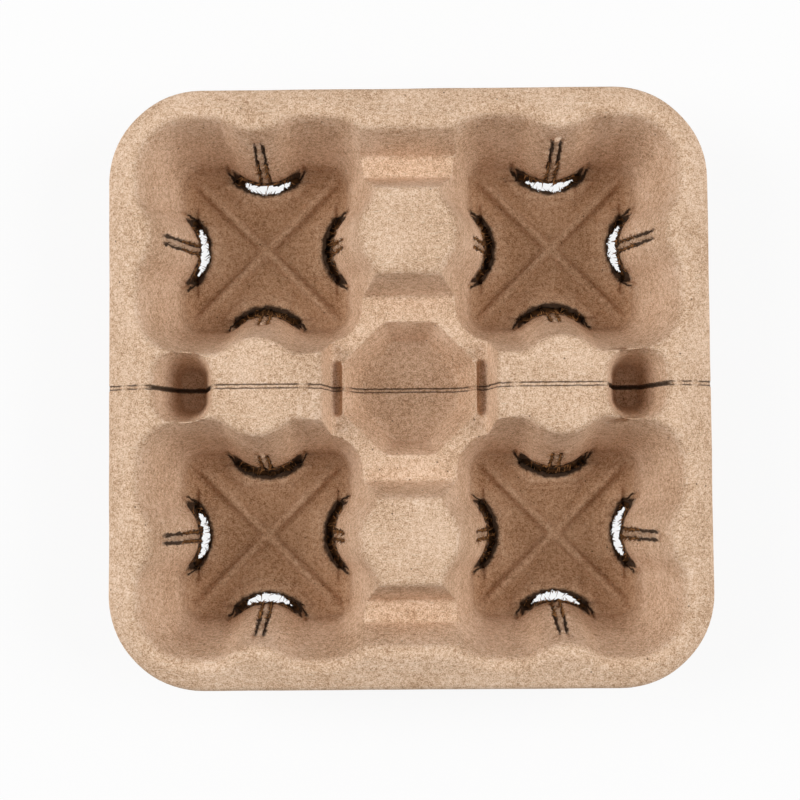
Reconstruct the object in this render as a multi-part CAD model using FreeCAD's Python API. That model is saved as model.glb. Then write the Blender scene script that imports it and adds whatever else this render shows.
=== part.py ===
import FreeCAD, Part
import math
import os

# Four-cup carrier, moulded from paper pulp as one thin sheet, in millimetres.
# Origin: centre of the underside, where the four cup pockets stand on the table.
# +Z is up, and the tear line runs along X.
# Every hollow is drawn twice, once for the upper face and once grown by the wall for the lower face.

# Sheet
wall = 1.8                    # thickness of the pulp

# Rim
rim_side = 216.0              # outside of the rim, across flats
rim_corner_radius = 34.0      # outside corner of the rim, at its lower edge
crest_height = 48.0           # highest level: the rim's crest and the platforms
crest_inset = 12.6            # from the outside edge to the crest
lip_height = 4.0              # short steep part at the outside edge
lip_draft = 15.0              # degrees from vertical
slope_drop = 6.5              # fall of the broad band between the crest and the lip
rim_round = 4.0               # rounding of the crest and of the lip's top

# Cup pockets
pocket_pitch = 108.4          # centre to centre, both ways
pocket_floor_half = 30.0      # centre of a pocket to its side, at the floor
pocket_corner_radius = 6.0    # at the floor
pocket_draft = 15.8           # degrees from vertical
pocket_floor_round = 4.0
pocket_rim_round = 3.5
pad_depth = 6.0               # how far each pad stands in from the side
pad_flank = 40.0              # degrees, steepest turn of the outline beside a pad
pad_reach = 25.6              # radius of a pad and of its flank, added up
pad_radius = 15.9             # the pad's own bow

# Raised marks on a pocket's floor
rib_height = 1.3              # of the two crossed ribs
rib_top = 2.6                 # width
rib_base = 5.2
step_height = 1.2             # low step in front of each pad
step_inner = 18.2             # centre of the pocket to the step's edge
step_width = 22.0             # along that edge
step_splay = 7.0              # how much wider it is where it meets the pad, each side

# Ledges, between the rim and the front and back platforms
ledge_height = 30.0
ledge_inner = 77.0
ledge_outer = 84.6
ledge_draft = 21.0            # degrees from vertical
ledge_round = 2.0
platform_round = 3.5

# Pits, between the rim and the side platforms
pit_height = 18.0
pit_inner = 76.0
pit_outer = 84.4
pit_reach = 7.0               # half length along Y
pit_draft = 12.0              # degrees from vertical
pit_corner_radius = 3.0
pit_floor_round = 2.0
pit_rim_round = 3.0

# Court round the centre well
court_height = 27.0
court_half_x = 28.3
court_half_y = 33.5
court_draft = 17.0            # degrees from vertical, front and back
court_round = 2.0
shoulder_start = 40.2         # the side platforms slope down from here
shoulder_end = 31.0
shoulder_fall = 3.4
shoulder_round = 10.0
shoulder_edge_round = 2.5
groove_height = 22.5
groove_inner = 25.8
groove_outer = 27.6
groove_reach = 9.0            # half length along Y
groove_draft = 15.0           # degrees from vertical
groove_round = 0.5
well_height = 10.0
well_half = 18.3              # across its short sides, at the floor
well_corner_half = 17.6       # across its long slanted sides, at the floor
well_draft = 20.0             # degrees from vertical
well_corner_round = 4.0
well_floor_round = 3.0

# Torn cuts at the pads
slit_width = 2.2              # of the bowed cut at the foot of a pad
slit_bite = 0.6               # how far that cut reaches under the pad
slit_span = 25.0              # length of that cut, end to end
slit_top = 4.5                # level up to which it opens the foot of the wall
return_length = 5.0           # of the short cut at each end of it
return_turn = 35.0            # degrees from the line to the pad
return_top = 9.0
upright_top = 24.0            # of the two cuts up the pad
upright_foot_gap = 3.4        # between them, at the floor
upright_top_gap = 1.8
cut_width = 0.8

# Tear line
tear_width = 0.8
tear_ties = [23.5, 37.5, 70.0, 94.5, 101.0]   # from the centre to each uncut tie
tear_tie_length = 2.4

# Drawing aids
above = 10.0                  # how far the hollows are drawn past the top
below = 6.0                   # and the block past the bottom
overlap = 1.0                 # of a cutting tool past the face that it opens
channel_reach = 24.0          # half length of a channel across a spine, so that it ends inside the pockets
sharp_turn = 20.0             # degrees between two faces that meet in an edge to be rounded
tiny = 0.0001
origin = FreeCAD.Vector(0, 0, 0)
upward = FreeCAD.Vector(0, 0, 1)
pocket_centre = FreeCAD.Vector(pocket_pitch / 2, pocket_pitch / 2, 0)


def radians(degrees):
    return math.radians(degrees)


def turned(quarter, x, y, z):
    """Point turned about Z by quarter turns."""
    cosine, sine = math.cos(radians(90 * quarter)), math.sin(radians(90 * quarter))
    return FreeCAD.Vector(x * cosine - y * sine, x * sine + y * cosine, z)


def level_edges(solid, level):
    return [edge for edge in solid.Edges if all(abs(vertex.Z - level) < tiny for vertex in edge.Vertexes)]


def offset_points(points, offset):
    """Moves a line of (along, height) points to its right by an offset, keeping its corners sharp."""
    lines = []
    for (x0, z0), (x1, z1) in zip(points, points[1:]):
        length = math.hypot(x1 - x0, z1 - z0)
        dx, dz = (x1 - x0) / length, (z1 - z0) / length
        lines.append((x0 + dz * offset, z0 - dx * offset, dx, dz))
    moved = [lines[0][:2]]
    for (ax, az, adx, adz), (bx, bz, bdx, bdz) in zip(lines, lines[1:]):
        share = ((bx - ax) * bdz - (bz - az) * bdx) / (adx * bdz - adz * bdx)
        moved.append((ax + share * adx, az + share * adz))
    x1, z1 = points[-1]
    moved.append((x1 + lines[-1][3] * offset, z1 - lines[-1][2] * offset))
    return moved


def rounded_line(points, radii):
    """Edges along a line of points, with each inner corner rounded by a tangent arc."""
    edges = []
    start = points[0]
    for before, corner, after, radius in zip(points, points[1:], points[2:], radii):
        to_before, to_after = (before - corner).normalize(), (after - corner).normalize()
        half_angle = to_before.getAngle(to_after) / 2
        run = radius / math.tan(half_angle)
        middle = corner + (to_before + to_after).normalize() * (radius / math.sin(half_angle) - radius)
        first, last = corner + to_before * run, corner + to_after * run
        edges.append(Part.LineSegment(start, first).toShape())
        edges.append(Part.Arc(first, middle, last).toShape())
        start = last
    edges.append(Part.LineSegment(start, points[-1]).toShape())
    return edges


def rounded_rectangle(half_x, half_y, radius, z):
    inner_x, inner_y = half_x - radius, half_y - radius
    diagonal = radius * math.sqrt(0.5)
    edges = []
    for sx, sy in ((1, 1), (-1, 1), (-1, -1), (1, -1)):
        side = FreeCAD.Vector(sx * half_x, sy * inner_y, z)
        mid = FreeCAD.Vector(sx * (inner_x + diagonal), sy * (inner_y + diagonal), z)
        end = FreeCAD.Vector(sx * inner_x, sy * half_y, z)
        first, last = (side, end) if sx * sy > 0 else (end, side)
        edges.append(Part.Arc(first, mid, last).toShape())
    straights = []
    for arc, following in zip(edges, edges[1:] + edges[:1]):
        straights.append(Part.LineSegment(arc.Vertexes[-1].Point, following.Vertexes[0].Point).toShape())
    return Part.Wire([edge for pair in zip(edges, straights) for edge in pair])


def block(offset):
    """Outer body of the rim: lip, broad slope, crest, and a flat top from crest to crest."""
    half = rim_side / 2
    corner_centre = half - rim_corner_radius
    lip_foot = crest_height - slope_drop - lip_height
    lean = math.tan(radians(lip_draft))
    line = [(half + (lip_foot + below) * lean, -below),
            (half - lip_height * lean, crest_height - slope_drop),
            (half - crest_inset, crest_height),
            (0, crest_height)]
    foot, knee, crest, _ = offset_points(line, -offset)
    sections = [rounded_rectangle(x, x, x - corner_centre, z) for x, z in (foot, knee, crest)]
    solid = Part.makeLoft(sections[:2], True, True).fuse(Part.makeLoft(sections[1:], True, True))
    return solid.makeFillet(rim_round - offset, level_edges(solid, knee[1]) + level_edges(solid, crest[1]))


def pocket_outline(side, grow, z):
    """Outline of a pocket: four lobed corners, and a bowed pad in the middle of each side."""
    corner = pocket_corner_radius + side - pocket_floor_half + grow
    side = side + grow
    bow = pad_radius - grow
    flank = pad_reach - pad_radius + grow
    flank_y = pad_reach * math.sin(radians(pad_flank))
    bow_centre = side - flank + pad_reach * math.cos(radians(pad_flank))
    straight = side - corner
    diagonal = straight + corner * math.sqrt(0.5)
    edges = []
    for quarter in range(4):
        def on_bow(degrees):
            a = radians(degrees)
            return turned(quarter, bow_centre - bow * math.cos(a), bow * math.sin(a), z)
        def on_flank(sign, degrees):
            a = radians(degrees)
            x, y = side - flank + flank * math.cos(a), flank_y - flank * math.sin(a)
            return turned(quarter, x, sign * y, z)
        turn = pad_flank
        corner_start, corner_end = turned(quarter, side, straight, z), turned(quarter, straight, side, z)
        edges.append(Part.LineSegment(turned(quarter, side, -straight, z), on_flank(-1, 0)).toShape())
        edges.append(Part.Arc(on_flank(-1, 0), on_flank(-1, turn / 2), on_flank(-1, turn)).toShape())
        edges.append(Part.Arc(on_bow(-turn), on_bow(0), on_bow(turn)).toShape())
        edges.append(Part.Arc(on_flank(1, turn), on_flank(1, turn / 2), on_flank(1, 0)).toShape())
        edges.append(Part.LineSegment(on_flank(1, 0), corner_start).toShape())
        edges.append(Part.Arc(corner_start, turned(quarter, diagonal, diagonal, z), corner_end).toShape())
    return Part.Wire(edges)


def pocket(offset):
    """Hollow of one cup pocket, about its own centre."""
    lean = math.tan(radians(pocket_draft))
    grow = offset / math.cos(radians(pocket_draft))
    low = wall - offset
    sections = []
    for z in (low, crest_height + above):
        sections.append(pocket_outline(pocket_floor_half + (z - wall) * lean, grow, z))
    solid = Part.makeLoft(sections, True, True)
    return solid.makeFillet(pocket_floor_round + offset, level_edges(solid, low))


def basin(half_x, half_y, corner_radius, level, draft, floor_round, high, offset):
    """Tapered hollow with a flat floor, from the sizes of its floor, about its own centre."""
    lean = math.tan(radians(draft))
    grow = offset / math.cos(radians(draft))
    sections = []
    for z in (level - offset, high):
        more = (z - level) * lean + grow
        sections.append(rounded_rectangle(half_x + more, half_y + more, corner_radius + more, z))
    solid = Part.makeLoft(sections, True, True)
    return solid.makeFillet(floor_round + offset, level_edges(solid, level - offset))


def pit(offset):
    """Deep basin at the end of a side spine, with the air above it, and a rounded rim between the two."""
    top = crest_height - offset
    half_x = (pit_outer - pit_inner) / 2
    solid = basin(half_x, pit_reach, pit_corner_radius, pit_height, pit_draft, pit_floor_round, top, offset)
    mouth = solid.BoundBox
    air_x, air_y = mouth.XMax + above, mouth.YMax + above
    air = Part.makeBox(2 * air_x, 2 * air_y, above, FreeCAD.Vector(-air_x, -air_y, top))
    solid = solid.fuse(air)
    rim = [edge for edge in level_edges(solid, top) if mouth.isInside(edge.BoundBox.Center)]
    return solid.makeFillet(pit_rim_round - offset, rim)


def well(offset):
    """Eight-sided recess in the middle, with four short sides and four long slanted ones."""
    lean = math.tan(radians(well_draft))
    grow = offset / math.cos(radians(well_draft))
    sections = []
    for z in (well_height - offset, court_height + overlap):
        more = (z - well_height) * lean + grow
        side = well_half + more
        short = (well_corner_half + more) * math.sqrt(2) - side
        points = [turned(quarter, side, sign * short, z) for quarter in range(4) for sign in (-1, 1)]
        sections.append(Part.makePolygon(points + points[:1]))
    solid = Part.makeLoft(sections, True, True)
    upright = [edge for edge in solid.Edges if edge.BoundBox.ZLength > tiny]
    solid = solid.makeFillet(well_corner_round + offset, upright)
    return solid.makeFillet(well_floor_round + offset, level_edges(solid, well_height - offset))


def channel(half_line, half_radii, along_x, offset):
    """Hollow across a spine: a mirrored section of points with rounded corners, and the air above it."""
    line = [(-a, z) for a, z in half_line[::-1]] + half_line
    radii = half_radii[::-1] + half_radii
    moved = offset_points(line, offset)
    fitted = []
    for (a0, z0), (a1, z1), (a2, z2), radius in zip(line, line[1:], line[2:], radii):
        hollow = (a1 - a0) * (z2 - z1) - (z1 - z0) * (a2 - a1) > 0
        fitted.append(radius + offset if hollow else radius - offset)
    def place(a, z):
        return FreeCAD.Vector(a, -channel_reach, z) if along_x else FreeCAD.Vector(-channel_reach, a, z)
    points = [place(a, z) for a, z in moved]
    edges = rounded_line(points, fitted)
    top = crest_height + above
    outer = moved[-1][0]
    rest = [points[-1], place(outer, top), place(-outer, top), points[0]]
    edges += [Part.LineSegment(a, b).toShape() for a, b in zip(rest, rest[1:])]
    sweep = FreeCAD.Vector(0, 2 * channel_reach, 0) if along_x else FreeCAD.Vector(2 * channel_reach, 0, 0)
    return Part.Face(Part.Wire(edges)).extrude(sweep)


def court_sides(offset):
    """Court between the front and back platforms."""
    run = (crest_height - court_height) * math.tan(radians(court_draft))
    edge = court_half_y + run
    line = [(court_half_y, court_height), (edge, crest_height), (edge + 2 * platform_round, crest_height)]
    return channel(line, [court_round, platform_round], False, offset)


def court_ends(offset):
    """Court between the side platforms, with their sloping shoulders."""
    line = [(court_half_x, court_height),
            (shoulder_end, crest_height - shoulder_fall),
            (shoulder_start, crest_height),
            (shoulder_start + shoulder_round, crest_height)]
    return channel(line, [court_round, shoulder_edge_round, shoulder_round], True, offset)


def ledge(offset):
    """One ledge recess: down from the platform, flat, and up to the rim's crest."""
    run = (crest_height - ledge_height) * math.tan(radians(ledge_draft))
    middle = (ledge_inner + ledge_outer) / 2
    half = (ledge_outer - ledge_inner) / 2
    line = [(half, ledge_height), (half + run, crest_height), (half + run + 2 * platform_round, crest_height)]
    hollow = channel(line, [ledge_round, platform_round], False, offset)
    return hollow.translated(FreeCAD.Vector(0, middle, 0))


def rim_edges(body, hollow):
    """Sharp edges where a hollow breaks the top of a body."""
    found = []
    for edge in body.Edges:
        middle = edge.valueAt((edge.FirstParameter + edge.LastParameter) / 2)
        if middle.z < crest_height - slope_drop or Part.Vertex(middle).distToShape(hollow)[0] > tiny:
            continue
        faces = body.ancestorsOfType(edge, Part.Face)
        normals = [face.normalAt(*face.Surface.parameter(middle)) for face in faces]
        if normals[0].getAngle(normals[1]) > radians(sharp_turn):
            found.append(edge)
    return found


def ribs(offset):
    """Two crossed ribs from corner to corner of a pocket's floor, about its centre."""
    line = [(-rib_base, wall), (-rib_base / 2, wall), (-rib_top / 2, wall + rib_height),
            (rib_top / 2, wall + rib_height), (rib_base / 2, wall), (rib_base, wall)]
    section = offset_points(line, offset)[1:-1]
    reach = pocket_floor_half * math.sqrt(2)
    (first, foot), (last, _) = section[0], section[-1]
    section = [(first, foot - wall)] + section + [(last, foot - wall)]
    points = [FreeCAD.Vector(-reach, a, z) for a, z in section]
    rib = Part.Face(Part.makePolygon(points + points[:1])).extrude(FreeCAD.Vector(2 * reach, 0, 0))
    return [rib.rotated(origin, upward, angle) for angle in (45, -45)]


def step(quarter, offset):
    """Low step on the floor in front of one pad, with sides that slope as much as they rise."""
    meet = pocket_floor_half - pad_depth + slit_width
    narrowing = offset * (math.sqrt(2) - 1)
    sections = []
    for rise in (-step_height, step_height):
        z, inset = wall - offset + rise, narrowing + rise
        inner, outer = step_width / 2 - inset, step_width / 2 + step_splay - inset
        points = [turned(quarter, step_inner + inset, -inner, z), turned(quarter, meet, -outer, z),
                  turned(quarter, meet, outer, z), turned(quarter, step_inner + inset, inner, z)]
        sections.append(Part.makePolygon(points + points[:1]))
    return Part.makeLoft(sections, True, True)


def form(offset):
    """Quarter of the body under one face of the sheet: the upper face at 0, the lower face at the wall."""
    sunk = pocket(offset).translated(pocket_centre)
    body = block(offset).cut(sunk)
    body = body.makeFillet(pocket_rim_round - offset, rim_edges(body, sunk))
    body = body.common(Part.makeBox(rim_side, rim_side, 2 * crest_height, FreeCAD.Vector(0, 0, -below)))
    pit_place = FreeCAD.Vector((pit_inner + pit_outer) / 2, 0, 0)
    groove = basin((groove_outer - groove_inner) / 2, groove_reach, groove_round, groove_height, groove_draft,
                   groove_round, court_height + overlap, offset)
    groove_place = FreeCAD.Vector((groove_inner + groove_outer) / 2, 0, 0)
    for hollow in (court_sides(offset), court_ends(offset), well(offset), ledge(offset),
                   pit(offset).translated(pit_place), groove.translated(groove_place)):
        body = body.cut(hollow)
    marks = ribs(offset) + [step(quarter, offset) for quarter in range(4)]
    return body.multiFuse([mark.translated(pocket_centre) for mark in marks])


def trimmed(sheet):
    """Cuts away what hangs below the lip, outside the pockets."""
    lip_foot = crest_height - slope_drop - lip_height
    corner_centre = rim_side / 2 - rim_corner_radius
    pocket_side = pocket_pitch / 2 + pocket_floor_half + lip_foot * math.tan(radians(pocket_draft)) + wall
    half = (pocket_side + rim_side / 2) / 2
    kept = rounded_rectangle(half, half, half - corner_centre, -2 * below)
    kept = Part.Face(kept).extrude(FreeCAD.Vector(0, 0, 2 * crest_height))
    corner = FreeCAD.Vector(-rim_side, -rim_side, -2 * below)
    low = Part.makeBox(2 * rim_side, 2 * rim_side, lip_foot - corner.z, corner)
    return sheet.cut(low.cut(kept))


def slits(quarter):
    """Die cuts at one pad: a bowed one at its foot with short returns, and two up its face."""
    pad_face = pocket_floor_half - pad_depth
    bow_centre = pad_face + pad_radius
    inner, outer = pad_radius - slit_bite, pad_radius - slit_bite + slit_width
    end = math.degrees(math.asin(slit_span / 2 / outer))
    def on(radius, degrees):
        a = radians(degrees)
        return turned(quarter, bow_centre - radius * math.cos(a), radius * math.sin(a), -overlap)
    edges = [Part.Arc(on(outer, -end), on(outer, 0), on(outer, end)).toShape(),
             Part.LineSegment(on(outer, end), on(inner, end)).toShape(),
             Part.Arc(on(inner, end), on(inner, 0), on(inner, -end)).toShape(),
             Part.LineSegment(on(inner, -end), on(outer, -end)).toShape()]
    cuts = [Part.Face(Part.Wire(edges)).extrude(upward * (slit_top + overlap))]
    tip_x, tip_y = bow_centre - outer * math.cos(radians(end)), outer * math.sin(radians(end))
    for sign in (-1, 1):
        corner = FreeCAD.Vector(-cut_width, -cut_width / 2, -overlap)
        thin = Part.makeBox(return_length, cut_width, return_top + overlap, corner)
        thin.rotate(origin, upward, sign * return_turn)
        thin.translate(FreeCAD.Vector(tip_x, sign * tip_y, 0))
        thin.rotate(origin, upward, 90 * quarter)
        cuts.append(thin)
        section = [(upright_foot_gap, -cut_width, -overlap), (upright_foot_gap, cut_width, -overlap),
                   (upright_top_gap, cut_width, upright_top), (upright_top_gap, -cut_width, upright_top)]
        near = pad_face - slit_width
        points = [turned(quarter, near, sign * (gap + side) / 2, z) for gap, side, z in section]
        through = turned(quarter, upright_top * math.tan(radians(pocket_draft)) + 2 * slit_width, 0, 0)
        cuts.append(Part.Face(Part.makePolygon(points + points[:1])).extrude(through))
    return cuts


def tear_cuts():
    """Slots of the tear line between its ties, for one half of its length."""
    half_tie = tear_tie_length / 2
    starts = [0] + [tie + half_tie for tie in tear_ties]
    ends = [tie - half_tie for tie in tear_ties] + [rim_side / 2 + above]
    cuts = []
    for start, end in zip(starts, ends):
        corner = FreeCAD.Vector(start, -tear_width / 2, -overlap)
        cuts.append(Part.makeBox(end - start, tear_width, crest_height + above, corner))
    return cuts


def carrier_tray():
    sheet = trimmed(form(0).cut(form(wall)))
    cuts = [cut.translated(pocket_centre) for quarter in range(4) for cut in slits(quarter)]
    sheet = sheet.cut(cuts + tear_cuts())
    half = sheet.fuse(sheet.mirror(origin, FreeCAD.Vector(1, 0, 0)))
    whole = half.fuse(half.mirror(origin, FreeCAD.Vector(0, 1, 0)))
    return whole.removeSplitter()


os.makedirs("parts", exist_ok=True)
carrier_tray().exportStep("parts/carrier_tray.step")
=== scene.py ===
import bpy
import bmesh
import math
import numpy as np
from mathutils import Matrix, Vector, noise


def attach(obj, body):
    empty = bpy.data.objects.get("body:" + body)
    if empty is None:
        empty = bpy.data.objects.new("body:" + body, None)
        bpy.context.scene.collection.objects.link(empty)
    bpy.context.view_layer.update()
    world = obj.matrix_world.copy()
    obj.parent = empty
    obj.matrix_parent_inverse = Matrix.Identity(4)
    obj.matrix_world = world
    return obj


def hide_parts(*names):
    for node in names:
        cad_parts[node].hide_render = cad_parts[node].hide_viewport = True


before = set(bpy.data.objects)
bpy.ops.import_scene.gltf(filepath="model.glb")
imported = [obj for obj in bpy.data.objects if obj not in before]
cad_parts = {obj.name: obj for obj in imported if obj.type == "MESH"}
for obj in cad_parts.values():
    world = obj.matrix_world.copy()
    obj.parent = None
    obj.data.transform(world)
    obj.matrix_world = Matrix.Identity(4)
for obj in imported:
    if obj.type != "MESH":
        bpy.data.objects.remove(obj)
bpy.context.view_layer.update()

mm = 0.001


# Small helpers

def linear(hexColour):
    # sRGB hex to the linear colour that a socket takes
    channels = [int(hexColour[i:i + 2], 16) / 255 for i in (1, 3, 5)]
    return tuple(c / 12.92 if c <= 0.04045 else ((c + 0.055) / 1.055) ** 2.4 for c in channels) + (1.0,)


def addNode(tree, kind, inputs=None, **settings):
    # One node with its settings; an input is a value, a node (its first output) or an output socket
    node = tree.nodes.new(kind)
    for name, value in settings.items():
        setattr(node, name, value)
    for key, value in (inputs or {}).items():
        if isinstance(value, bpy.types.Node):
            value = value.outputs[0]
        if isinstance(value, bpy.types.NodeSocket):
            tree.links.new(value, node.inputs[key])
        else:
            node.inputs[key].default_value = value
    return node


# Where a map range falls from 1 to 0
falling = {"To Min": 1.0, "To Max": 0.0}


def rising(values, start, end):
    # 0 up to start and 1 from end on, straight between them; start may be the greater
    return np.clip((values - start) / (end - start), 0, 1)


def newObject(name, mesh):
    thing = bpy.data.objects.new(name, mesh)
    bpy.context.scene.collection.objects.link(thing)
    return thing


def baked(thing):
    # What the modifiers make, as a plain mesh, with the modifiers taken off
    depsgraph = bpy.context.evaluated_depsgraph_get()
    mesh = bpy.data.meshes.new_from_object(thing.evaluated_get(depsgraph), depsgraph=depsgraph)
    thing.modifiers.clear()
    old = thing.data
    thing.data = mesh
    bpy.data.meshes.remove(old)
    return thing


# Where the sheet is cut, in mm, as in the solid, but with the outer pads' cuts torn on upwards.
# Both the form and the finish read it

cuts = {
    "pocketPitch": 108.4,       # pocket centre to pocket centre
    "padBand": (23.0, 38.0),    # from a pocket's centre, where the face of a pad lies
    "outerFrom": 75.0,          # an outer pad's least distance from the tray's middle
    "bowCentre": 39.9,          # pocket centre to the centre of a pad's bowed cut
    "bowRadius": 16.4,          # middle of that cut
    "bowHalfSpan": 12.5,
    "bowTop": 7.0,              # level up to which it is torn
    "uprightFoot": 1.7,         # half the gap between the two cuts up a pad
    "uprightLean": 0.008,       # how that half gap closes with height
    "uprightTop": (23.0, 38.0), # on the inner and on the outer pads
    "returnStart": (27.4, 12.5),
    "returnTurn": 35.0,         # degrees
    "returnLength": 4.6,
    "returnTop": 9.5,
    "tearHalfGap": 0.65,        # the tear line is a double score
    "ties": (23.5, 37.5, 70.0, 94.5, 101.0),
    "tieHalf": 1.4,
    "pit": (70.0, 92.0),        # where the tear line has opened
    "noCut": 9.0,               # a distance that stands for no cut nearby
}

# From the middle of a cut, in mm: where its painted shade starts to fade, and where it has gone
cutShadeReach = {
    "upright": (0.42, 0.9),
    "bow": (2.1, 3.2),
    "return": (0.25, 0.65),
    "score": (0.12, 0.38),
    "openTear": (0.45, 0.8),
    "tie": (1.0, 2.0),
}

# How the cuts wander, and how strong their painted shade is
wandering = {
    "reach": 1.1,               # mm
    "scale": 0.45,
    "tearShare": 0.3,           # the tear line is pressed, and straighter than a tear
    "tearStrength": 0.85,
    "tieStrength": 0.3,
    "stripStrength": 0.3,       # of the strip between the two cuts up a pad
}


# Materials

pulpLook = {
    "pale": "#f6dac2",          # fibre clumps that stand proud
    "middle": "#d8b697",
    "brown": "#a48062",         # between them
    "speck": "#54402c",
    "fibre": "#efdcc4",
    "hollow": "#cbb8a4",        # painted shade on the floors of the pockets and pits, multiplied in
    "cutShade": "#24160c",          # near-black painted shade down in and beside the cuts
    "grain": 0.5,               # mm, fibre clumps
    "clump": 1.6,               # mm
    "mottle": 16.0,             # mm, cloudy differences in how the pulp settled
    "fibreWidth": 0.3,          # mm, drawn wider than the real 0.05 mm so that it shows
    "fibreLength": 3.0,         # mm
    "speckSpacing": 6.0,        # mm
    "hollowBelow": 12.0,        # mm, level under which that painted shade comes in
    "lump": 2.4,                # mm, unevenness of the felted surface
    "roughness": 0.93,
}


def perMillimetre(size):
    # Noise scale for a pattern of that size in mm, on Object coordinates in metres
    return 1000.0 / size


def uprightMask(tree, pad, c):
    # Painted shade along the two cuts up a pad, with weaker painted shade on the strip between them
    halfGap = addNode(tree, "ShaderNodeMath", {0: pad["height"], 1: -c["uprightLean"], 2: c["uprightFoot"]},
                      operation="MULTIPLY_ADD")
    beside = addNode(tree, "ShaderNodeMath", {0: pad["across"], 1: halfGap}, operation="SUBTRACT")
    off = addNode(tree, "ShaderNodeMath", {0: beside}, operation="ABSOLUTE")
    fade, gone = cutShadeReach["upright"]
    line = addNode(tree, "ShaderNodeMapRange", {"Value": off, "From Min": fade, "From Max": gone, **falling})
    strip = addNode(tree, "ShaderNodeMapRange", {"Value": beside, "From Min": -0.4, "From Max": 0.2,
                                                 "To Min": wandering["stripStrength"], "To Max": 0.0})
    mask = addNode(tree, "ShaderNodeMath", {0: line, 1: strip}, operation="MAXIMUM")
    top = addNode(tree, "ShaderNodeMapRange", {
        "Value": pad["outward"], "From Min": c["outerFrom"] - 2, "From Max": c["outerFrom"],
        "To Min": c["uprightTop"][0], "To Max": c["uprightTop"][1]})
    above = addNode(tree, "ShaderNodeMath", {0: pad["height"], 1: top}, operation="SUBTRACT")
    low = addNode(tree, "ShaderNodeMapRange", {"Value": above, "From Min": -4.0, "From Max": 0.0, **falling})
    onPad = addNode(tree, "ShaderNodeMapRange", {"Value": pad["along"], "From Min": c["padBand"][0] - 1,
                                                 "From Max": c["padBand"][0]})
    for factor in (low, onPad):
        mask = addNode(tree, "ShaderNodeMath", {0: mask, 1: factor}, operation="MULTIPLY")
    return mask


def bowMask(tree, pad, c):
    # Painted shade along the bowed cut at a pad's foot, spread wide over its torn edges
    fromCentre = addNode(tree, "ShaderNodeMath", {0: pad["along"], 1: c["bowCentre"]}, operation="SUBTRACT")
    spot = addNode(tree, "ShaderNodeCombineXYZ", {0: fromCentre, 1: pad["across"]})
    reach = addNode(tree, "ShaderNodeVectorMath", {0: spot}, operation="LENGTH").outputs["Value"]
    off = addNode(tree, "ShaderNodeMath", {0: reach, 1: c["bowRadius"]}, operation="SUBTRACT")
    off = addNode(tree, "ShaderNodeMath", {0: off}, operation="ABSOLUTE")
    fade, gone = cutShadeReach["bow"]
    mask = addNode(tree, "ShaderNodeMapRange", {"Value": off, "From Min": fade, "From Max": gone, **falling})
    low = addNode(tree, "ShaderNodeMapRange", {"Value": pad["height"], "From Min": c["bowTop"] - 1,
                                               "From Max": c["bowTop"] + 1, **falling})
    ended = addNode(tree, "ShaderNodeMapRange", {"Value": pad["across"], "From Min": c["bowHalfSpan"],
                                                 "From Max": c["bowHalfSpan"] + 0.8, **falling})
    for factor in (low, ended):
        mask = addNode(tree, "ShaderNodeMath", {0: mask, 1: factor}, operation="MULTIPLY")
    return mask


def returnMask(tree, pad, c):
    # The short cut at each end of the bowed one
    turn = math.radians(c["returnTurn"])
    spot = addNode(tree, "ShaderNodeCombineXYZ", {0: pad["along"], 1: pad["across"]})
    fromTip = addNode(tree, "ShaderNodeVectorMath", {0: spot, 1: (*c["returnStart"], 0)},
                      operation="SUBTRACT")
    beside = addNode(tree, "ShaderNodeVectorMath", {0: fromTip, 1: (-math.sin(turn), math.cos(turn), 0)},
                     operation="DOT_PRODUCT").outputs["Value"]
    ahead = addNode(tree, "ShaderNodeVectorMath", {0: fromTip, 1: (math.cos(turn), math.sin(turn), 0)},
                    operation="DOT_PRODUCT").outputs["Value"]
    off = addNode(tree, "ShaderNodeMath", {0: beside}, operation="ABSOLUTE")
    fade, gone = cutShadeReach["return"]
    mask = addNode(tree, "ShaderNodeMapRange", {"Value": off, "From Min": fade, "From Max": gone, **falling})
    begun = addNode(tree, "ShaderNodeMapRange", {"Value": ahead, "From Min": -0.8, "From Max": -0.2})
    ended = addNode(tree, "ShaderNodeMapRange", {"Value": ahead, "From Min": c["returnLength"] - 1,
                                                 "From Max": c["returnLength"], **falling})
    low = addNode(tree, "ShaderNodeMapRange", {"Value": pad["height"], "From Min": c["returnTop"] - 1,
                                               "From Max": c["returnTop"] + 1, **falling})
    for factor in (begun, ended, low):
        mask = addNode(tree, "ShaderNodeMath", {0: mask, 1: factor}, operation="MULTIPLY")
    return mask


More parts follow.
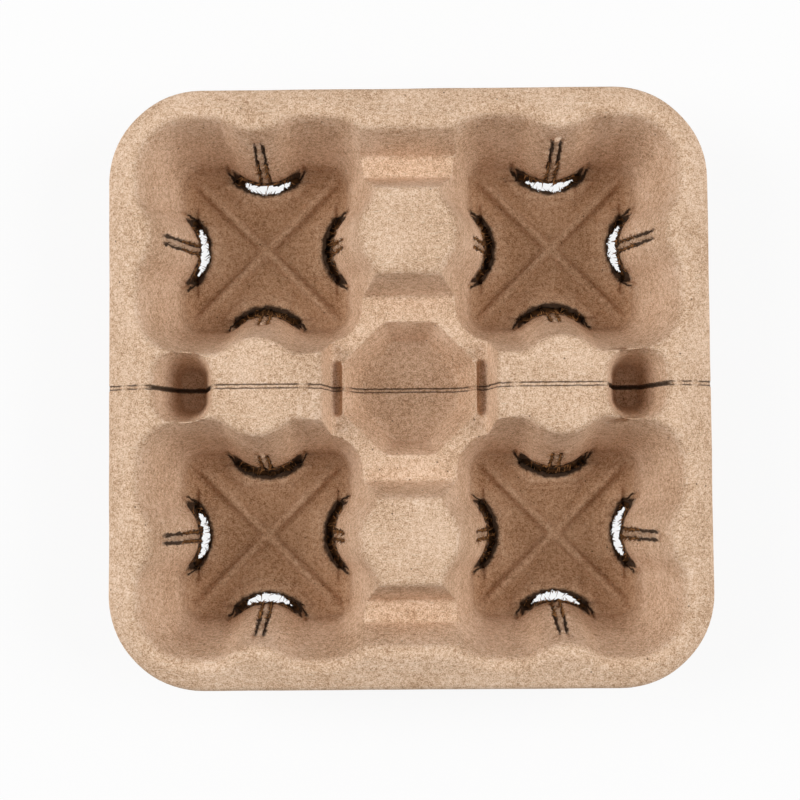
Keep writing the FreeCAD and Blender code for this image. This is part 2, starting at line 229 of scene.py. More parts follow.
def tearMasks(tree, inMillimetres, shake, c):
    # Painted shade along the tear line: a double score, weaker at the ties, and open in the pits
    gentle = addNode(tree, "ShaderNodeVectorMath", {0: shake, "Scale": wandering["tearShare"]},
                     operation="SCALE")
    spot = addNode(tree, "ShaderNodeSeparateXYZ", {0: addNode(
        tree, "ShaderNodeVectorMath", {0: inMillimetres, 1: gentle}, operation="ADD")})
    outward = addNode(tree, "ShaderNodeMath", {0: spot.outputs[0]}, operation="ABSOLUTE")
    fromMiddle = addNode(tree, "ShaderNodeMath", {0: spot.outputs[1]}, operation="ABSOLUTE")
    off = addNode(tree, "ShaderNodeMath", {0: fromMiddle, 1: c["tearHalfGap"]}, operation="SUBTRACT")
    off = addNode(tree, "ShaderNodeMath", {0: off}, operation="ABSOLUTE")
    fade, gone = cutShadeReach["score"]
    score = addNode(tree, "ShaderNodeMapRange", {"Value": off, "From Min": fade, "From Max": gone, **falling})
    strength = wandering["tearStrength"]
    fade, gone = cutShadeReach["tie"]
    for tie in c["ties"]:
        away = addNode(tree, "ShaderNodeMath", {0: outward, 1: tie}, operation="SUBTRACT")
        away = addNode(tree, "ShaderNodeMath", {0: away}, operation="ABSOLUTE")
        kept = addNode(tree, "ShaderNodeMapRange", {"Value": away, "From Min": fade, "From Max": gone,
                                                    "To Min": wandering["tieStrength"]})
        strength = addNode(tree, "ShaderNodeMath", {0: strength, 1: kept}, operation="MULTIPLY")
    score = addNode(tree, "ShaderNodeMath", {0: score, 1: strength}, operation="MULTIPLY")

    fade, gone = cutShadeReach["openTear"]
    opened = addNode(tree, "ShaderNodeMapRange", {"Value": fromMiddle, "From Min": fade, "From Max": gone,
                                                  **falling})
    middle, half = sum(c["pit"]) / 2, (c["pit"][1] - c["pit"][0]) / 2
    away = addNode(tree, "ShaderNodeMath", {0: outward, 1: middle}, operation="SUBTRACT")
    away = addNode(tree, "ShaderNodeMath", {0: away}, operation="ABSOLUTE")
    inPit = addNode(tree, "ShaderNodeMapRange", {"Value": away, "From Min": half - 1, "From Max": half + 1,
                                                 **falling})
    opened = addNode(tree, "ShaderNodeMath", {0: opened, 1: inPit}, operation="MULTIPLY")
    return score, opened


def cutMask(tree, place, c):
    # 1 on a cut and 0 away from it. The tray is folded onto one pad, then shaken so that no two cuts are alike
    inMillimetres = addNode(tree, "ShaderNodeVectorMath", {0: place, "Scale": 1000.0}, operation="SCALE")
    wander = addNode(tree, "ShaderNodeTexNoise", {"Vector": inMillimetres, "Scale": wandering["scale"],
                                                  "Detail": 3.0})
    reach = wandering["reach"]
    shake = addNode(tree, "ShaderNodeVectorMath", {
        0: wander.outputs["Color"], 1: (2 * reach, 2 * reach, 0), 2: (-reach, -reach, 0)},
        operation="MULTIPLY_ADD")
    shaken = addNode(tree, "ShaderNodeSeparateXYZ", {0: addNode(
        tree, "ShaderNodeVectorMath", {0: inMillimetres, 1: shake}, operation="ADD")})
    sizes, sides = [], []
    for axis in (0, 1):
        sizes.append(addNode(tree, "ShaderNodeMath", {0: shaken.outputs[axis]}, operation="ABSOLUTE"))
        fromCentre = addNode(tree, "ShaderNodeMath", {0: sizes[axis], 1: c["pocketPitch"] / 2},
                             operation="SUBTRACT")
        sides.append(addNode(tree, "ShaderNodeMath", {0: fromCentre}, operation="ABSOLUTE"))
    pad = {
        "along": addNode(tree, "ShaderNodeMath", {0: sides[0], 1: sides[1]}, operation="MAXIMUM"),
        "across": addNode(tree, "ShaderNodeMath", {0: sides[0], 1: sides[1]}, operation="MINIMUM"),
        "outward": addNode(tree, "ShaderNodeMath", {0: sizes[0], 1: sizes[1]}, operation="MAXIMUM"),
        "height": addNode(tree, "ShaderNodeSeparateXYZ", {0: inMillimetres}).outputs[2],
    }
    whole, opened = tearMasks(tree, inMillimetres, shake, c)
    for mask in (opened, returnMask(tree, pad, c), bowMask(tree, pad, c), uprightMask(tree, pad, c)):
        whole = addNode(tree, "ShaderNodeMath", {0: whole, 1: mask}, operation="MAXIMUM")
    return whole


def mouldedPulp(look, c):
    # Moulded paper pulp, felted on a wire mould and dried: matte and grainy kraft brown, with pale fibres, dark
    # specks, painted shade that browns the floors, and near-black painted shade along the cuts
    material = bpy.data.materials.new("mouldedPulp")
    material.use_nodes = True
    tree = material.node_tree
    tree.nodes.clear()
    place = addNode(tree, "ShaderNodeTexCoord").outputs["Object"]
    grain = addNode(tree, "ShaderNodeTexNoise", {"Vector": place, "Scale": perMillimetre(look["grain"]),
                                                 "Detail": 2.0, "Roughness": 0.6})
    clump = addNode(tree, "ShaderNodeTexNoise", {"Vector": place, "Scale": perMillimetre(look["clump"]),
                                                 "Detail": 2.0})
    mottle = addNode(tree, "ShaderNodeTexNoise", {"Vector": place, "Scale": perMillimetre(look["mottle"]),
                                                  "Detail": 3.0})
    felt = addNode(tree, "ShaderNodeMath", {0: clump, 1: 0.45, 2: grain}, operation="MULTIPLY_ADD")
    felt = addNode(tree, "ShaderNodeMath", {0: mottle, 1: 0.3, 2: felt}, operation="MULTIPLY_ADD")
    tone = addNode(tree, "ShaderNodeMapRange", {"Value": felt, "From Min": 0.655, "From Max": 1.095})
    tones = addNode(tree, "ShaderNodeValToRGB", {"Fac": tone})
    ramp = tones.color_ramp
    ramp.elements[0].position, ramp.elements[0].color = 0.0, linear(look["brown"])
    ramp.elements[1].position, ramp.elements[1].color = 1.0, linear(look["pale"])
    ramp.elements.new(0.5).color = linear(look["middle"])

    # Pale fibres lying three ways
    fibres = 0.0
    for turn in (0.35, 1.25, 2.3):
        laid = addNode(tree, "ShaderNodeMapping", {"Vector": place, "Rotation": (0, 0, turn), "Scale": (
            perMillimetre(look["fibreLength"]), perMillimetre(look["fibreWidth"]),
            perMillimetre(look["fibreWidth"]) / 3)})
        strand = addNode(tree, "ShaderNodeTexNoise", {"Vector": laid, "Scale": 1.0, "Detail": 0.0})
        shown = addNode(tree, "ShaderNodeMapRange", {"Value": strand, "From Min": 0.74, "From Max": 0.82,
                                                     "To Max": 0.5})
        fibres = addNode(tree, "ShaderNodeMath", {0: fibres, 1: shown}, operation="MAXIMUM")
    withFibres = addNode(tree, "ShaderNodeMix", {"Factor": fibres, 6: tones, 7: linear(look["fibre"])},
                         data_type="RGBA")

    # A few dark specks of bark and ink
    cells = addNode(tree, "ShaderNodeTexVoronoi", {"Vector": place,
                                                   "Scale": perMillimetre(look["speckSpacing"])})
    small = addNode(tree, "ShaderNodeMapRange", {"Value": cells.outputs["Distance"], "From Min": 0.04,
                                                 "From Max": 0.07, "To Min": 0.8, "To Max": 0.0})
    withSpecks = addNode(tree, "ShaderNodeMix", {"Factor": small, 6: withFibres.outputs[2],
                                                 7: linear(look["speck"])}, data_type="RGBA")

    # Painted shade: darker and browner towards the floors of the pockets and pits
    height = addNode(tree, "ShaderNodeSeparateXYZ", {0: place}).outputs[2]
    deep = addNode(tree, "ShaderNodeMapRange", {"Value": height, "From Min": 0.0,
                                                "From Max": look["hollowBelow"] * mm, **falling})
    floorShaded = addNode(tree, "ShaderNodeMix", {"Factor": deep, 6: withSpecks.outputs[2],
                                              7: linear(look["hollow"])},
                      data_type="RGBA", blend_type="MULTIPLY")

    # Painted shade in and beside the cuts: near-black, standing for the shadow down in them
    shadedCuts = cutMask(tree, place, c)
    finished = addNode(tree, "ShaderNodeMix", {"Factor": addNode(
        tree, "ShaderNodeMath", {0: shadedCuts, 1: 0.92}, operation="MULTIPLY"), 6: floorShaded.outputs[2],
        7: linear(look["cutShade"])}, data_type="RGBA")

    # Felted surface: fine grain over slow lumps, rougher on the underside, which dried on the wire
    normal = addNode(tree, "ShaderNodeNewGeometry").outputs["Normal"]
    facing = addNode(tree, "ShaderNodeSeparateXYZ", {0: normal})
    rough = addNode(tree, "ShaderNodeMapRange", {
        "Value": facing.outputs[2], "From Min": -0.3, "From Max": 0.0, "To Min": 1.0, "To Max": 0.55})
    lumps = addNode(tree, "ShaderNodeTexNoise", {"Vector": place, "Scale": perMillimetre(look["lump"]),
                                                  "Detail": 2.0})
    coarse = addNode(tree, "ShaderNodeBump", {"Height": lumps, "Strength": rough, "Distance": 0.35 * mm})
    fine = addNode(tree, "ShaderNodeBump", {"Height": grain, "Strength": 0.6, "Distance": 0.3 * mm,
                                            "Normal": coarse})
    shader = addNode(tree, "ShaderNodeBsdfPrincipled", {
        "Base Color": finished.outputs[2], "Roughness": look["roughness"], "Specular IOR Level": 0.2,
        "Normal": fine})
    addNode(tree, "ShaderNodeOutputMaterial", {"Surface": shader})
    return material


pulp = mouldedPulp(pulpLook, cuts)
print("material made")


# The tray: the solid's own form, with its hard corners softened as wet pulp leaves them

trayForm = {
    "voxel": 0.5,  # mm
    "seal": 0.45,                           # mm, closes the hairline cuts, which are then scored in the sheet
    "softening": 3,    # rounds of smoothing
    "triangles": 180000,
    "rimSoftening": 60,   # more rounds at the mouth of the pockets along the rim
    "mouthIn": (86.0, 90.0),                # mm from the tray's middle, where that comes in
    "mouthOut": (104.0, 100.0),             # and goes again, before the lip
    "mouthBeside": (21.0, 27.0),            # mm from the spines
    "mouthAbove": (22.0, 32.0),             # mm, level
    "wave": 0.14,                           # mm, slow unevenness of the sheet
    "waveLength": 17.0,                     # mm
    "raggedness": 1.1,                      # mm, at the die cuts
    "raggedLength": 1.9,                    # mm
    "raggedReach": (3.4, 1.0),              # mm from a cut, where that comes in, and from where on it is full
    "raggedFrom": 24.5,                     # mm from a pocket's centre, on the face of a pad
    "stripHalf": 1.0,                       # mm, half the strip between the two cuts up a pad
    "scoreDepth": 1.3,                      # mm
    "scoreHalf": 0.95,                      # mm, half its width
    "gape": 0.8,                            # mm, how far each edge of an outer pad's bowed cut is pushed open
    "ribRise": 0.8,                         # mm, sharper ribs across the floors
    "ribHalf": 2.2,                         # mm
    "ribGroove": (3.3, 0.4),                # mm from a rib's middle to the groove beside it, and its share
    "stepRise": 0.9,                        # mm, sharper steps at the feet of the pads
    "stepEdge": 15.6,                       # mm from the pocket's centre
    "stepHalfWidth": 10.5,
    "stepSlope": 1.4,                       # mm, length of the slope at its edges
    "reliefBelow": (8.0, 6.0),              # mm, level
    "reliefWithin": (27.0, 24.0),           # mm from the pocket's centre
}


def mergedCopy(node):
    mesh = node.data.copy()
    build = bmesh.new()
    build.from_mesh(mesh)
    bmesh.ops.remove_doubles(build, verts=build.verts, dist=0.001 * mm)
    build.to_mesh(mesh)
    build.free()
    return mesh


def readVectors(mesh, attribute):
    values = np.empty(len(mesh.vertices) * 3)
    mesh.vertices.foreach_get(attribute, values)
    return values.reshape(-1, 3)


def smoothNoise(points, length, seed):
    # Noise vectors of about unit size at points in mm
    shift = Vector((seed * 17.3, seed * 5.1, seed * 9.7))
    return np.array([noise.noise_vector(Vector(p) / length + shift) for p in points]).reshape(-1, 3)


def foldedOnPad(points, c):
    # Distance of each point along and across the pad that it is nearest to, from its pocket's centre
    sides = np.abs(np.abs(points[:, :2]) - c["pocketPitch"] / 2)
    return sides.max(axis=1), sides.min(axis=1)


def padTop(points, c):
    # Level that the cuts up the nearest pad reach
    outer = np.abs(points[:, :2]).max(axis=1) > c["outerFrom"]
    return np.where(outer, c["uprightTop"][1], c["uprightTop"][0])


def scoreStrength(points, half, c):
    # 1 in the middle of a hairline cut, falling to 0 at half a score's width
    along, across = foldedOnPad(points, c)
    height = points[:, 2]
    away = np.full(len(points), c["noCut"])
    upright = np.abs(across - (c["uprightFoot"] - c["uprightLean"] * height))
    onPad = (along > c["padBand"][0]) & (along < c["padBand"][1])
    onPad &= (height > 4) & (height < padTop(points, c))
    away = np.where(onPad, upright, away)
    turn = math.radians(c["returnTurn"])
    fromX, fromY = along - c["returnStart"][0], across - c["returnStart"][1]
    ahead = fromX * math.cos(turn) + fromY * math.sin(turn)
    beside = np.abs(fromY * math.cos(turn) - fromX * math.sin(turn))
    onReturn = (ahead > -0.5) & (ahead < c["returnLength"]) & (height < c["returnTop"])
    away = np.where(onReturn, np.minimum(away, beside), away)
    tied = np.min([np.abs(np.abs(points[:, 0]) - tie) for tie in c["ties"]], axis=0) < c["tieHalf"]
    away = np.minimum(away, np.where(tied, c["noCut"], np.abs(points[:, 1])))
    return np.clip(1 - away / half, 0, 1)


def gapingBows(points, form, c):
    # Pushes the edges of the outer pads' bowed cuts apart, most in the middle
    local = np.abs(points[:, :2]) - c["pocketPitch"] / 2
    alongX = np.abs(local[:, 0]) > np.abs(local[:, 1])
    fromCentre = local - np.where(np.stack([alongX, ~alongX], axis=1), np.sign(local) * c["bowCentre"], 0)
    radius = np.linalg.norm(fromCentre, axis=1)
    share = np.clip(1 - np.abs(radius - c["bowRadius"]) / 5, 0, 1) * (points[:, 2] < c["bowTop"])
    share *= np.clip(1 - (np.abs(local).min(axis=1) / 11) ** 2, 0, 1)
    share *= np.abs(points[:, :2]).max(axis=1) > c["outerFrom"]
    push = share * form["gape"] * np.sign(radius - c["bowRadius"]) / np.maximum(radius, 1)
    return fromCentre * np.sign(points[:, :2]) * push[:, None]


def pressedRelief(points, form, c):
    # Rise of the floor at the ribs on its diagonals and at the step before each pad
    along, across = foldedOnPad(points, c)
    fromRib = (along - across) / math.sqrt(2)
    groove, share = form["ribGroove"]
    ribs = rising(fromRib, form["ribHalf"], 0) - share * np.exp(-(fromRib - groove) ** 2)
    steps = rising(along, form["stepEdge"], form["stepEdge"] + form["stepSlope"])
    steps *= rising(across, form["stepHalfWidth"], form["stepHalfWidth"] - form["stepSlope"])
    steps *= np.hypot(along - c["bowCentre"], across) > c["bowRadius"]
    onFloor = rising(points[:, 2], *form["reliefBelow"]) * rising(along, *form["reliefWithin"])
    return (ribs * form["ribRise"] + steps * form["stepRise"]) * onFloor


def finishSheet(mesh, form, c, low, high):
    points = readVectors(mesh, "co") / mm
    normals = readVectors(mesh, "normal")
    waves = smoothNoise(points, form["waveLength"], 1)[:, 0]
    depth = scoreStrength(points, form["scoreHalf"], c) * form["scoreDepth"]
    moved = points + normals * (waves * form["wave"] - form["seal"] - depth)[:, None]
    moved[:, 2] += pressedRelief(points, form, c)
    moved[:, :2] += gapingBows(points, form, c)

    # Torn edges along the bowed cuts and between the cuts up the pads
    along, across = foldedOnPad(points, c)
    fromBow = np.abs(np.hypot(along - c["bowCentre"], across) - c["bowRadius"])
    atFoot = (points[:, 2] < c["bowTop"]) & (across < c["bowHalfSpan"] + 1)
    fromBow = np.where(atFoot, fromBow, c["noCut"])
    onPad = (along > form["raggedFrom"]) & (along < c["padBand"][1])
    onPad &= (points[:, 2] > c["bowTop"]) & (points[:, 2] < padTop(points, c))
    fromStrip = np.where(onPad, across - form["stripHalf"], c["noCut"])
    closeness = rising(np.minimum(fromBow, fromStrip), *form["raggedReach"])
    chosen = np.nonzero(closeness)[0]
    moved[chosen] += smoothNoise(points[chosen], form["raggedLength"], 2) * (
        closeness[chosen] * form["raggedness"])[:, None]
    moved = np.clip(moved, low, high)
    mesh.vertices.foreach_set("co", (moved * mm).ravel())
    mesh.update()


def rimWeights(tray, name, form):
    # Full weight at the outer mouth of the pockets, none at the lip and on the spines
    points = readVectors(tray.data, "co") / mm
    outward = np.abs(points[:, :2]).max(axis=1)
    inner = np.abs(points[:, :2]).min(axis=1)
    weight = rising(outward, *form["mouthIn"]) * rising(outward, *form["mouthOut"])
    weight *= rising(inner, *form["mouthBeside"])
    weight *= rising(points[:, 2], *form["mouthAbove"])
    group = tray.vertex_groups.new(name=name)
    steps = np.round(weight * 8).astype(int)
    for step in range(1, 9):
        group.add(np.nonzero(steps == step)[0].tolist(), step / 8, "REPLACE")


def carrierTray(form, c, material):
    tray = newObject("carrierTray", mergedCopy(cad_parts["carrier_tray"]))
    points = readVectors(tray.data, "co") / mm
    low, high = points.min(axis=0), points.max(axis=0)
    seal = tray.modifiers.new("seal", "DISPLACE")
    seal.strength = form["seal"] * mm
    seal.mid_level = 0
    felt = tray.modifiers.new("felt", "REMESH")
    felt.mode = "VOXEL"
    felt.voxel_size = form["voxel"] * mm
    soften = tray.modifiers.new("soften", "SMOOTH")
    soften.factor = 0.5
    soften.iterations = form["softening"]
    baked(tray)
    print("sheet felted:", len(tray.data.vertices), "points")
    rimWeights(tray, "mouth", form)
    ease = tray.modifiers.new("ease", "SMOOTH")
    ease.factor = 0.5
    ease.iterations = form["rimSoftening"]
    ease.vertex_group = "mouth"
    baked(tray)
    finishSheet(tray.data, form, c, low, high)
    sides = sum(len(p.vertices) - 2 for p in tray.data.polygons)
    thin = tray.modifiers.new("thin", "DECIMATE")
    thin.ratio = min(1.0, form["triangles"] / sides)
    baked(tray)
    tray.vertex_groups.clear()
    tray.data.polygons.foreach_set("use_smooth", [True] * len(tray.data.polygons))
    tray.data.materials.clear()
    tray.data.materials.append(material)
    tray.data.update()
    return tray


tray = carrierTray(trayForm, cuts, pulp)
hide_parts("carrier_tray")
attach(tray, "root")
print("tray made:", sum(len(p.vertices) - 2 for p in tray.data.polygons), "triangles")


# Torn fibres: tufts of pulp left standing along the raw edges of the die cuts.
# Both torn looks are the same pulp; the darker one is painted shade, for pulp down in a cut

tuftForm = {
    "length": 2.3,              # mm
    "width": 0.42,              # mm, drawn wider than the real 0.05 mm so that it shows
    "spacing": 0.45,            # mm, along the cuts
    "lift": 35.0,               # degrees, how far a tuft stands off the sheet
    "floorEdge": (1.5, 2.4),    # mm out from the middle of the bowed cut, and its level
    "padEdge": (-1.4, 6.2),
    "floorArc": (0.02, 0.66),   # radians from the pad's middle
    "padArc": (0.06, 0.66),
    "padFoot": (25.0, 4.0),     # mm from the pocket's centre, and its level
    "padSlope": 0.283,          # how the pad's face leans out
    "uprightFrom": 7.0,         # mm, level
    "seed": 7,
}

tornLook = {
    "tornPulp": ("#4a3220", "#a9794c"),
    "shadedPulp": ("#1d130b", "#5d3d22"),   # painted shade: the torn pulp darkened, for pulp down in a cut
}


def cutPaths(form, c):
    # Lines of points along the raw edges, in mm, on every pad of every pocket
    paths = []
    for side in (-1, 1):
        for edge, arc in (("floorEdge", "floorArc"), ("padEdge", "padArc")):
            radius, level = c["bowRadius"] + form[edge][0], form[edge][1]
            paths.append([(c["bowCentre"] - radius * math.cos(a), side * radius * math.sin(a), level)
                          for a in np.linspace(*form[arc], 9)])
        foot, level = form["padFoot"]
        paths.append([(foot + form["padSlope"] * (z - level),
                       side * (c["uprightFoot"] - c["uprightLean"] * z), z)
                      for z in np.linspace(form["uprightFrom"], c["uprightTop"][0] - 2, 7)])
    half = c["pocketPitch"] / 2
    for cx in (-half, half):
        for cy in (-half, half):
            for quarter in range(4):
                turn = Matrix.Rotation(quarter * math.pi / 2, 3, "Z")
                for path in paths:
                    yield [(turn @ Vector(p) + Vector((cx, cy, 0))) * mm for p in path]


def tuftTree(material):
    # A thin blade on every point of the resampled cuts, turned and sized at random
    tree = bpy.data.node_groups.new("tornFibres", "GeometryNodeTree")
    face = tree.interface
    face.new_socket("Geometry", in_out="INPUT", socket_type="NodeSocketGeometry")
    for name in ("Length", "Width", "Spacing", "Lift"):
        face.new_socket(name, in_out="INPUT", socket_type="NodeSocketFloat")
    face.new_socket("Seed", in_out="INPUT", socket_type="NodeSocketInt")
    face.new_socket("Geometry", in_out="OUTPUT", socket_type="NodeSocketGeometry")
    given = addNode(tree, "NodeGroupInput").outputs
    curve = addNode(tree, "GeometryNodeMeshToCurve", {"Mesh": given["Geometry"]})
    spots = addNode(tree, "GeometryNodeResampleCurve", {"Curve": curve, "Length": given["Spacing"]},
                    mode="LENGTH")
    blade = addNode(tree, "GeometryNodeMeshCone", {"Vertices": 4, "Radius Bottom": given["Width"],
                                                   "Depth": given["Length"]})
    size = addNode(tree, "FunctionNodeRandomValue", {0: (0.5, 0.5, 0.35), 1: (1.5, 0.9, 1.3),
                                                     "Seed": given["Seed"]},
                   data_type="FLOAT_VECTOR")
    lay = addNode(tree, "ShaderNodeMath", {0: math.pi / 2, 1: given["Lift"]}, operation="SUBTRACT")
    least = addNode(tree, "ShaderNodeCombineXYZ", {0: lay, 1: -0.3, 2: 0.0})
    most = addNode(tree, "ShaderNodeCombineXYZ", {0: math.pi / 2 + 0.25, 1: 0.3, 2: 2 * math.pi})
    turn = addNode(tree, "FunctionNodeRandomValue", {0: least, 1: most, "Seed": given["Seed"]},
                   data_type="FLOAT_VECTOR")
    tufts = addNode(tree, "GeometryNodeInstanceOnPoints", {
        "Points": spots, "Instance": blade, "Rotation": turn, "Scale": size})
    real = addNode(tree, "GeometryNodeRealizeInstances", {0: tufts})
    painted = addNode(tree, "GeometryNodeSetMaterial", {"Geometry": real, "Material": material})
    addNode(tree, "NodeGroupOutput", {0: painted})
    return tree


def tornPulp(name):
    # The same pulp where it is torn open: rough and warm brown, with no pressed skin; the shadedPulp copy is
    # painted darker, as shade down in a cut
    deep, warm = tornLook[name]
    material = bpy.data.materials.new(name)
    material.use_nodes = True
    tree = material.node_tree
    tree.nodes.clear()
    place = addNode(tree, "ShaderNodeTexCoord").outputs["Object"]
    patches = addNode(tree, "ShaderNodeTexNoise", {"Vector": place, "Scale": perMillimetre(2.0),
                                                   "Detail": 2.0})
    tones = addNode(tree, "ShaderNodeValToRGB", {"Fac": patches})
    tones.color_ramp.elements[0].position, tones.color_ramp.elements[0].color = 0.35, linear(deep)
    tones.color_ramp.elements[1].position, tones.color_ramp.elements[1].color = 0.68, linear(warm)
    rough = addNode(tree, "ShaderNodeBump", {"Height": patches, "Strength": 0.5, "Distance": 0.2 * mm})
    shader = addNode(tree, "ShaderNodeBsdfPrincipled", {"Base Color": tones, "Roughness": 0.97,
                                                        "Specular IOR Level": 0.1, "Normal": rough})
    addNode(tree, "ShaderNodeOutputMaterial", {"Surface": shader})
    return material


def tornFibres(form, c):
    points, edges = [], []
    for path in cutPaths(form, c):
        first = len(points)
        points += path
        edges += [(i, i + 1) for i in range(first, len(points) - 1)]
    mesh = bpy.data.meshes.new("tornFibres")
    mesh.from_pydata(points, edges, [])
    fibres = newObject("tornFibres", mesh)
    modifier = fibres.modifiers.new("tufts", "NODES")
    modifier.node_group = tuftTree(tornPulp("tornPulp"))
    values = {"Length": form["length"] * mm, "Width": form["width"] / 2 * mm, "Spacing": form["spacing"] * mm,
              "Lift": math.radians(form["lift"]), "Seed": form["seed"]}
    for item in modifier.node_group.interface.items_tree:
        if item.in_out == "INPUT" and item.name in values:
            modifier[item.identifier] = values[item.name]
    return baked(fibres)


fibres = tornFibres(tuftForm, cuts)
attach(fibres, "root")
print("fibres made:", len(fibres.data.polygons), "faces")


# Torn flaps: strips of pulp bent down in the bowed cuts, in the painted-shade copy of the torn pulp. They close
# an inner pad's cut, and an outer one's ends, as a dark sheet standing for the shade down in them

flapForm = {
    "width": 5.6,               # mm
    "reach": 0.82,              # radians to each side of the pad's middle
    "level": (0.9, 2.0),        # mm, at the floor's edge and at the pad's
    "thickness": 0.35,          # mm
    "gapHalf": 2.1,             # mm, at the middle of an outer pad
    "gapReach": 0.6,            # radians to each side that the gap takes to close
    "raggedness": 0.9,          # mm
    "gapShift": 0.4,            # mm, towards the floor
    "buckle": 0.35,             # mm
    "steps": (90, 14),          # along the cut and across it
}


def flapPoint(form, a, share, pad, c):
    # A point of a flap on the pad along +X, in mm; share runs from the pad's edge of the cut to the floor's
    radius = c["bowRadius"] + (share - 0.5) * form["width"]
    level = form["level"][0] + (form["level"][1] - form["level"][0]) * (1 - share)
    level += form["buckle"] * noise.noise(Vector((a * 9, share * 3, pad * 3.7)))
    return Vector((c["bowCentre"] - radius * math.cos(a), radius * math.sin(a), level))


def inGap(form, a, away, pad):
    # Whether an outer pad's cut stands open there, at a ragged edge
    shaken = form["raggedness"] * noise.noise(Vector((a * 14, away * 0.8, pad * 5.3)))
    return abs(away + form["gapShift"]) + shaken < form["gapHalf"] * (1 - (a / form["gapReach"]) ** 2)


def shadedTornFlaps(form, c):
    points, faces = [], []
    alongSteps, acrossSteps = form["steps"]
    row = acrossSteps + 1
    pockets = [Vector((x, y, 0)) * c["pocketPitch"] / 2 for y in (1, -1) for x in (1, -1)]
    for pad in range(16):
        middle, turn = pockets[pad % 4], Matrix.Rotation(pad // 4 * math.pi / 2, 3, "Z")
        outer = (turn @ Vector((1, 0, 0))).dot(middle) > 0
        first = len(points)
        for i in range(alongSteps + 1):
            a = (2 * i / alongSteps - 1) * form["reach"]
            for j in range(row):
                points.append((turn @ flapPoint(form, a, j / acrossSteps, pad, c) + middle) * mm)
        for i in range(alongSteps):
            a = (2 * (i + 0.5) / alongSteps - 1) * form["reach"]
            for j in range(acrossSteps):
                away = ((j + 0.5) / acrossSteps - 0.5) * form["width"]
                corner = first + i * row + j
                if not (outer and inGap(form, a, away, pad)):
                    faces.append((corner, corner + row, corner + row + 1, corner + 1))
    mesh = bpy.data.meshes.new("shadedTornFlaps")
    mesh.from_pydata(points, [], faces)
    mesh.update()
    flaps = newObject("shadedTornFlaps", mesh)
    # painted shade: the flaps take the darkened copy of the torn pulp
    mesh.materials.append(tornPulp("shadedPulp"))
    thicken = flaps.modifiers.new("thicken", "SOLIDIFY")
    thicken.thickness = form["thickness"] * mm
    baked(flaps)
    build = bmesh.new()
    build.from_mesh(flaps.data)
    bmesh.ops.delete(build, geom=[v for v in build.verts if not v.link_faces], context="VERTS")
    bmesh.ops.recalc_face_normals(build, faces=build.faces)
    build.to_mesh(flaps.data)
    build.free()
    return flaps


flaps = shadedTornFlaps(flapForm, cuts)
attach(flaps, "root")
print("flaps made:", len(flaps.data.polygons), "faces")


# Floor, lamps and camera

studio = {
    "floorSize": 3.0,
    "surround": 0.34,           # strength of the world's even light
    "lampPower": (14.6, 13.2),
    "lampSize": 1.0,
    "lampPlaces": ((-1.2, 0.2, 1.05), (1.2, 0.05, 1.05)),
    "whiteFrom": 72.0,          # mm from the middle, where the floor starts to be white to the eye
    "whiteTo": 76.5,
    "whiteShare": 0.88,         # the rest keeps the tray's shadow
    "cameraPlace": (0.0016, -0.0299, 0.578),
    "cameraAim": (-0.0033, -0.0053, 0.048),
    "cameraTurn": 0.45,         # degrees
    "lens": 67.95,
}


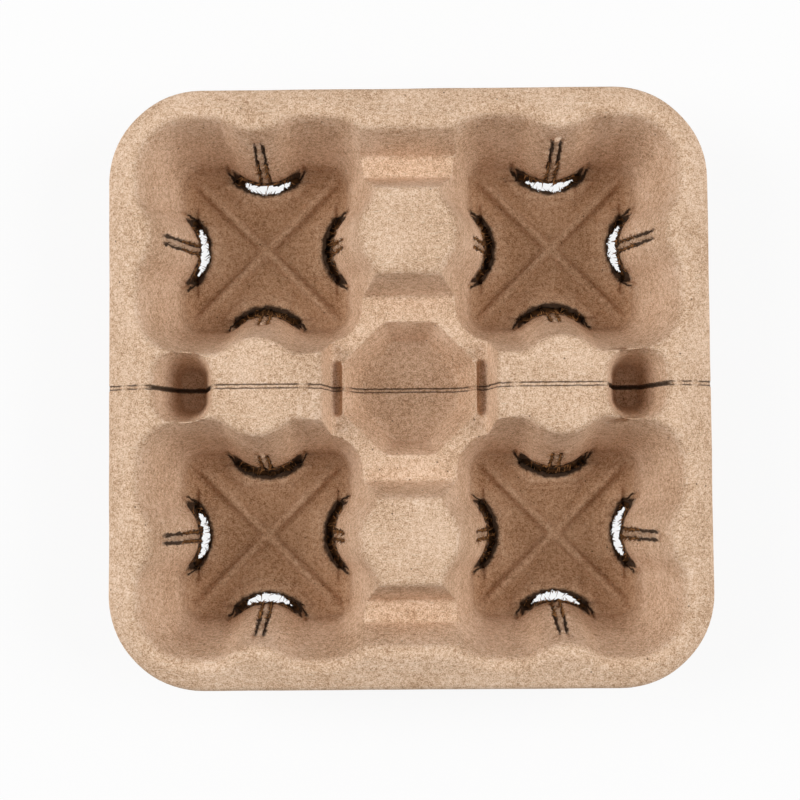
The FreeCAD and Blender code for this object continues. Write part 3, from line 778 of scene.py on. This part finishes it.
def paperSweep(s):
    # Pale paper: white to the eye round the tray, with the tray's own shadow left under it
    material = bpy.data.materials.new("paperSweep")
    material.use_nodes = True
    tree = material.node_tree
    tree.nodes.clear()
    path = addNode(tree, "ShaderNodeLightPath")
    seen = path.outputs["Is Camera Ray"]
    for ray in ("Is Glossy Ray", "Is Transmission Ray"):
        seen = addNode(tree, "ShaderNodeMath", {0: seen, 1: path.outputs[ray]}, operation="MAXIMUM")
    place = addNode(tree, "ShaderNodeSeparateXYZ", {0: addNode(tree, "ShaderNodeTexCoord").outputs["Object"]})
    sides = [addNode(tree, "ShaderNodeMath", {0: place.outputs[axis]}, operation="ABSOLUTE")
             for axis in (0, 1)]
    outward = addNode(tree, "ShaderNodeMath", {0: sides[0], 1: sides[1]}, operation="MAXIMUM")
    share = addNode(tree, "ShaderNodeMapRange", {
        "Value": outward, "From Min": s["whiteFrom"] * mm, "From Max": s["whiteTo"] * mm,
        "To Min": 0.0, "To Max": s["whiteShare"]})
    share = addNode(tree, "ShaderNodeMath", {0: seen, 1: share}, operation="MULTIPLY")
    paper = addNode(tree, "ShaderNodeBsdfDiffuse", {"Color": linear("#ededed")})
    glow = addNode(tree, "ShaderNodeEmission", {"Color": (1, 1, 1, 1), "Strength": 1.0})
    mix = addNode(tree, "ShaderNodeMixShader", {0: share, 1: paper, 2: glow})
    addNode(tree, "ShaderNodeOutputMaterial", {"Surface": mix})
    return material


def setStage(s):
    half = s["floorSize"] / 2
    mesh = bpy.data.meshes.new("floor")
    corners = [(-half, -half, 0), (half, -half, 0), (half, half, 0), (-half, half, 0)]
    mesh.from_pydata(corners, [], [(0, 1, 2, 3)])
    floor = newObject("floor", mesh)
    mesh.materials.append(paperSweep(s))

    world = bpy.data.worlds.new("studio")
    world.use_nodes = True
    background = world.node_tree.nodes["Background"]
    background.inputs["Color"].default_value = (1, 1, 1, 1)
    background.inputs["Strength"].default_value = s["surround"]
    bpy.context.scene.world = world

    for name, place, power in zip(("softboxLeft", "softboxRight"), s["lampPlaces"], s["lampPower"]):
        lamp = bpy.data.lights.new(name, "AREA")
        lamp.shape = "DISK"
        lamp.size = s["lampSize"]
        lamp.energy = power
        softbox = newObject(name, lamp)
        softbox.location = place
        softbox.rotation_euler = (-Vector(place)).to_track_quat("-Z", "Y").to_euler()

    camera = bpy.data.cameras.new("camera")
    camera.lens = s["lens"]
    camera.sensor_width = 36
    viewer = newObject("camera", camera)
    place, aim = Vector(s["cameraPlace"]), Vector(s["cameraAim"])
    back = (place - aim).normalized()
    turn = math.radians(s["cameraTurn"])
    right = Vector((math.sin(turn), math.cos(turn), 0)).cross(back).normalized()
    pose = Matrix((right, back.cross(right), back)).transposed().to_4x4()
    pose.translation = place
    viewer.matrix_world = pose
    bpy.context.scene.camera = viewer
    bpy.context.scene.view_settings.view_transform = "Standard"


setStage(studio)
print("stage set")
